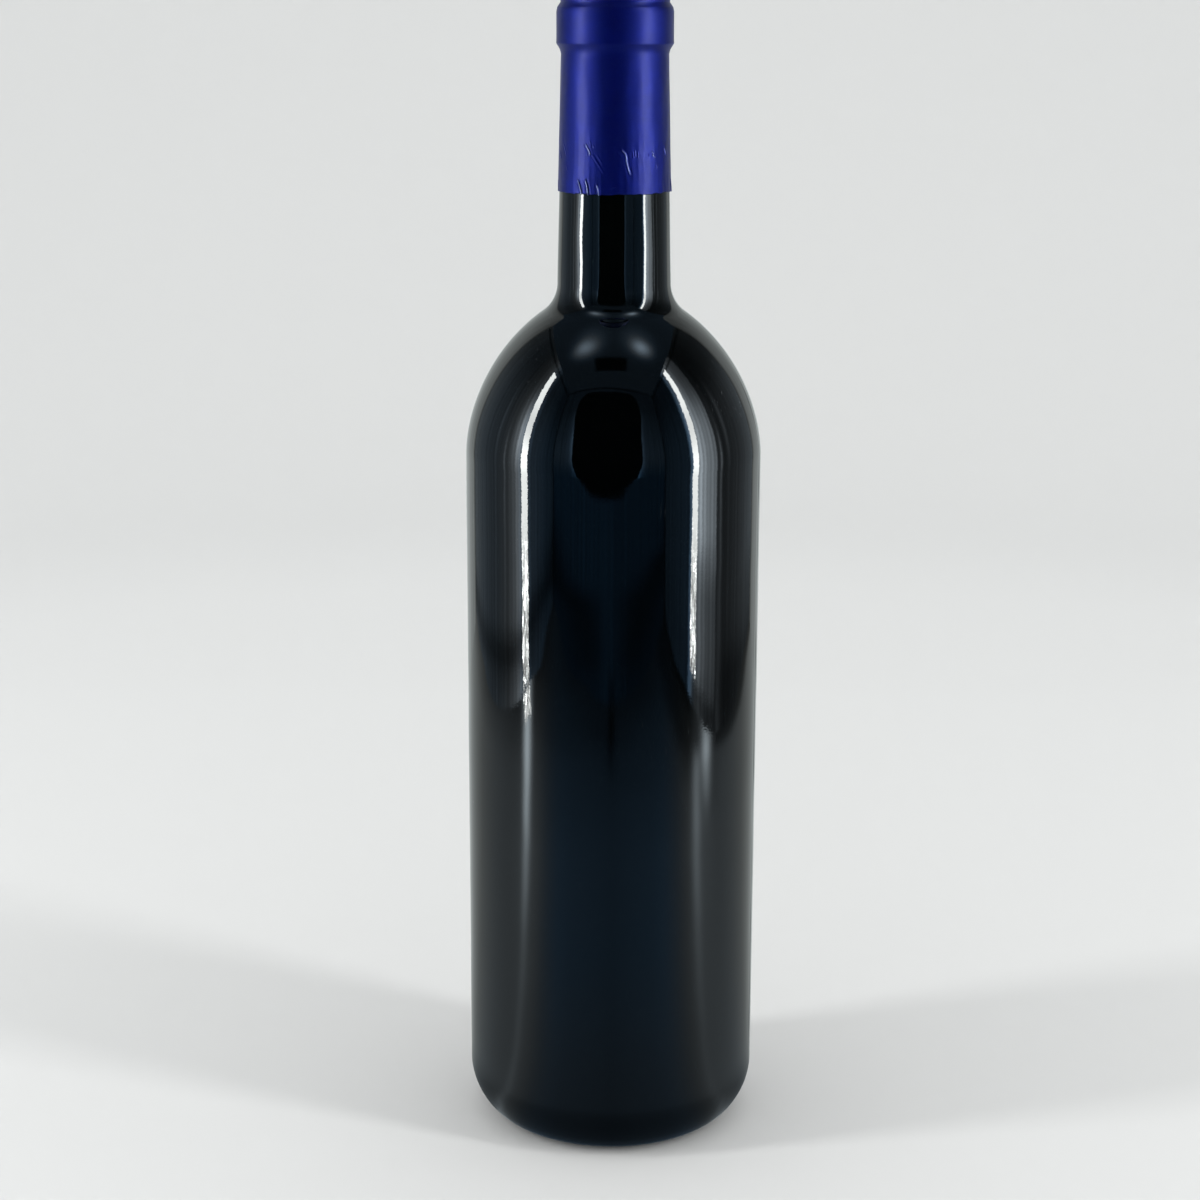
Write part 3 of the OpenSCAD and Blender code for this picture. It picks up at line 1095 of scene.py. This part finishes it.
lamp_strip("strip_left", SEED + 10, x=-0.444, y=-0.172, width=0.050, foot=0.003, top=0.690,
           lean=0.022, level=14.0, boost=0.75, pool=0.048)
lamp_strip("strip_right", SEED + 11, x=0.412, y=-0.209, width=0.042, foot=0.014, top=0.740,
           lean=0.030, level=15.0, boost=0.50, pool=0)


# ---- Lights for the stage: two tall strips at the sides and soft light all round ----

STRIP_REACH = 0.85
STRIP_W = 0.13
STRIP_H = 1.25


def strip_light(name, angle, power):
    data = bpy.data.lights.new(name, "AREA")
    data.shape = "RECTANGLE"
    data.size = STRIP_W
    data.size_y = STRIP_H
    data.energy = power
    data.color = (1.0, 0.995, 0.985)
    made = bpy.data.objects.new(name, data)
    t = math.radians(angle)
    place = Vector((math.sin(t) * STRIP_REACH, -math.cos(t) * STRIP_REACH, STRIP_H / 2))
    made.location = place
    made.rotation_euler = Vector((-place.x, -place.y, 0)).to_track_quat("-Z", "Y").to_euler()
    made.visible_camera = False
    made.visible_glossy = False
    bpy.context.scene.collection.objects.link(made)


def surround(strength):
    world = bpy.data.worlds.new("soft_surround")
    world.use_nodes = True
    back = world.node_tree.nodes["Background"]
    back.inputs["Color"].default_value = (0.99, 1.0, 1.0, 1)
    back.inputs["Strength"].default_value = strength
    world.cycles_visibility.glossy = False
    bpy.context.scene.world = world


strip_light("side_light_left", -73, 7.2)
strip_light("side_light_right", 63.5, 7.2)
surround(1.17)


# ---- Camera ----

CAMERA_AWAY = 0.6401
CAMERA_HEIGHT = 0.29695
PITCH_DOWN = 13.587
TURN_LEFT = 0.299
ROLL = 0.182

camera_data = bpy.data.cameras.new("camera")
camera_data.sensor_width = 36
camera_data.lens = 75
camera_data.clip_start = 0.01
camera_data.clip_end = 20
camera = bpy.data.objects.new("camera", camera_data)
bpy.context.scene.collection.objects.link(camera)
camera.matrix_world = (
    Matrix.Translation((0, -CAMERA_AWAY, CAMERA_HEIGHT))
    @ Matrix.Rotation(math.radians(TURN_LEFT), 4, "Z")
    @ Matrix.Rotation(math.radians(90 - PITCH_DOWN), 4, "X")
    @ Matrix.Rotation(math.radians(ROLL), 4, "Z")
)
bpy.context.scene.camera = camera
bpy.context.scene.view_settings.view_transform = "Standard"
